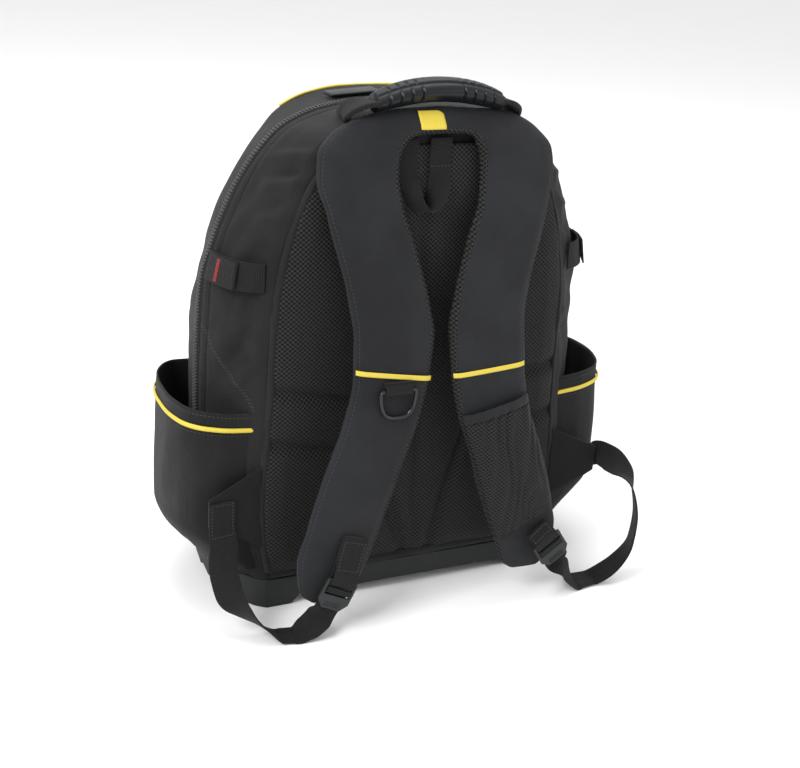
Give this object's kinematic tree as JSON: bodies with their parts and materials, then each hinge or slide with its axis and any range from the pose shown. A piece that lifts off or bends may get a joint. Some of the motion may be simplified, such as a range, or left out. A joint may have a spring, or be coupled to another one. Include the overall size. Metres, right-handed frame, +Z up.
{
  "type": "tool backpack",
  "caption": "Tool backpack standing on a moulded base: domed zipped bag, padded shoulder straps, top handle, open side pockets and adjuster webbing.",
  "frame": {"origin": "on the floor under the middle of the whole pack's width and depth", "axes": "+Z up, +Y from the wearer's back towards the front of the pack, +X to the wearer's right"},
  "size_m": [0.4408, 0.2786, 0.4778],
  "materials": {
    "cloth": "woven polyester, matte",
    "air_mesh": "knitted air mesh, matte",
    "webbing": "woven webbing, matte",
    "yellow_trim": "woven trim, matte",
    "moulded_base": "fine grain, matte",
    "moulded_trim": "satin",
    "grip_rubber": "semi gloss",
    "zip": "coiled zip on tape, matte"
  },
  "bodies": {
    "bag": {"adjuster_webbing_left": "webbing", "adjuster_webbing_right": "webbing", "back_body": "cloth", "back_panel": "air_mesh", "buckle_keeper_left": "webbing", "buckle_keeper_right": "webbing", "front_body": "cloth", "handle_anchor_left": "webbing", "handle_anchor_right": "webbing", "handle_grip": "grip_rubber", "haul_loop": "webbing", "ladder_lock_left": "moulded_trim", "ladder_lock_right": "moulded_trim", "moulded_base": "moulded_base", "phone_pocket": "air_mesh", "phone_pocket_band": "cloth", "pocket_piping_left": "yellow_trim", "pocket_piping_right": "yellow_trim", "ring_keeper": "webbing", "shoulder_strap_left": "cloth", "shoulder_strap_right": "cloth", "shoulder_yoke": "cloth", "side_pocket_left": "cloth", "side_pocket_right": "cloth", "side_strap_left": "webbing", "side_strap_right": "webbing", "side_tab_left": "webbing", "side_tab_right": "webbing", "strap_stripe_left": "yellow_trim", "strap_stripe_right": "yellow_trim", "top_piping": "yellow_trim", "wing_left": "cloth", "wing_right": "cloth", "yellow_tab": "yellow_trim", "zip_band": "zip", "zip_pull": "grip_rubber", "zip_slider": "moulded_trim"},
    "ring": {"d_ring": "moulded_trim"}
  },
  "joints": [
    {"name": "ring_hinge", "type": "hinge", "parent": "bag", "child": "ring", "pos_m": [-0.0435, -0.11162, 0.2245], "axis": [-1, 0, 0], "range_deg": [0, 150]}
  ]
}
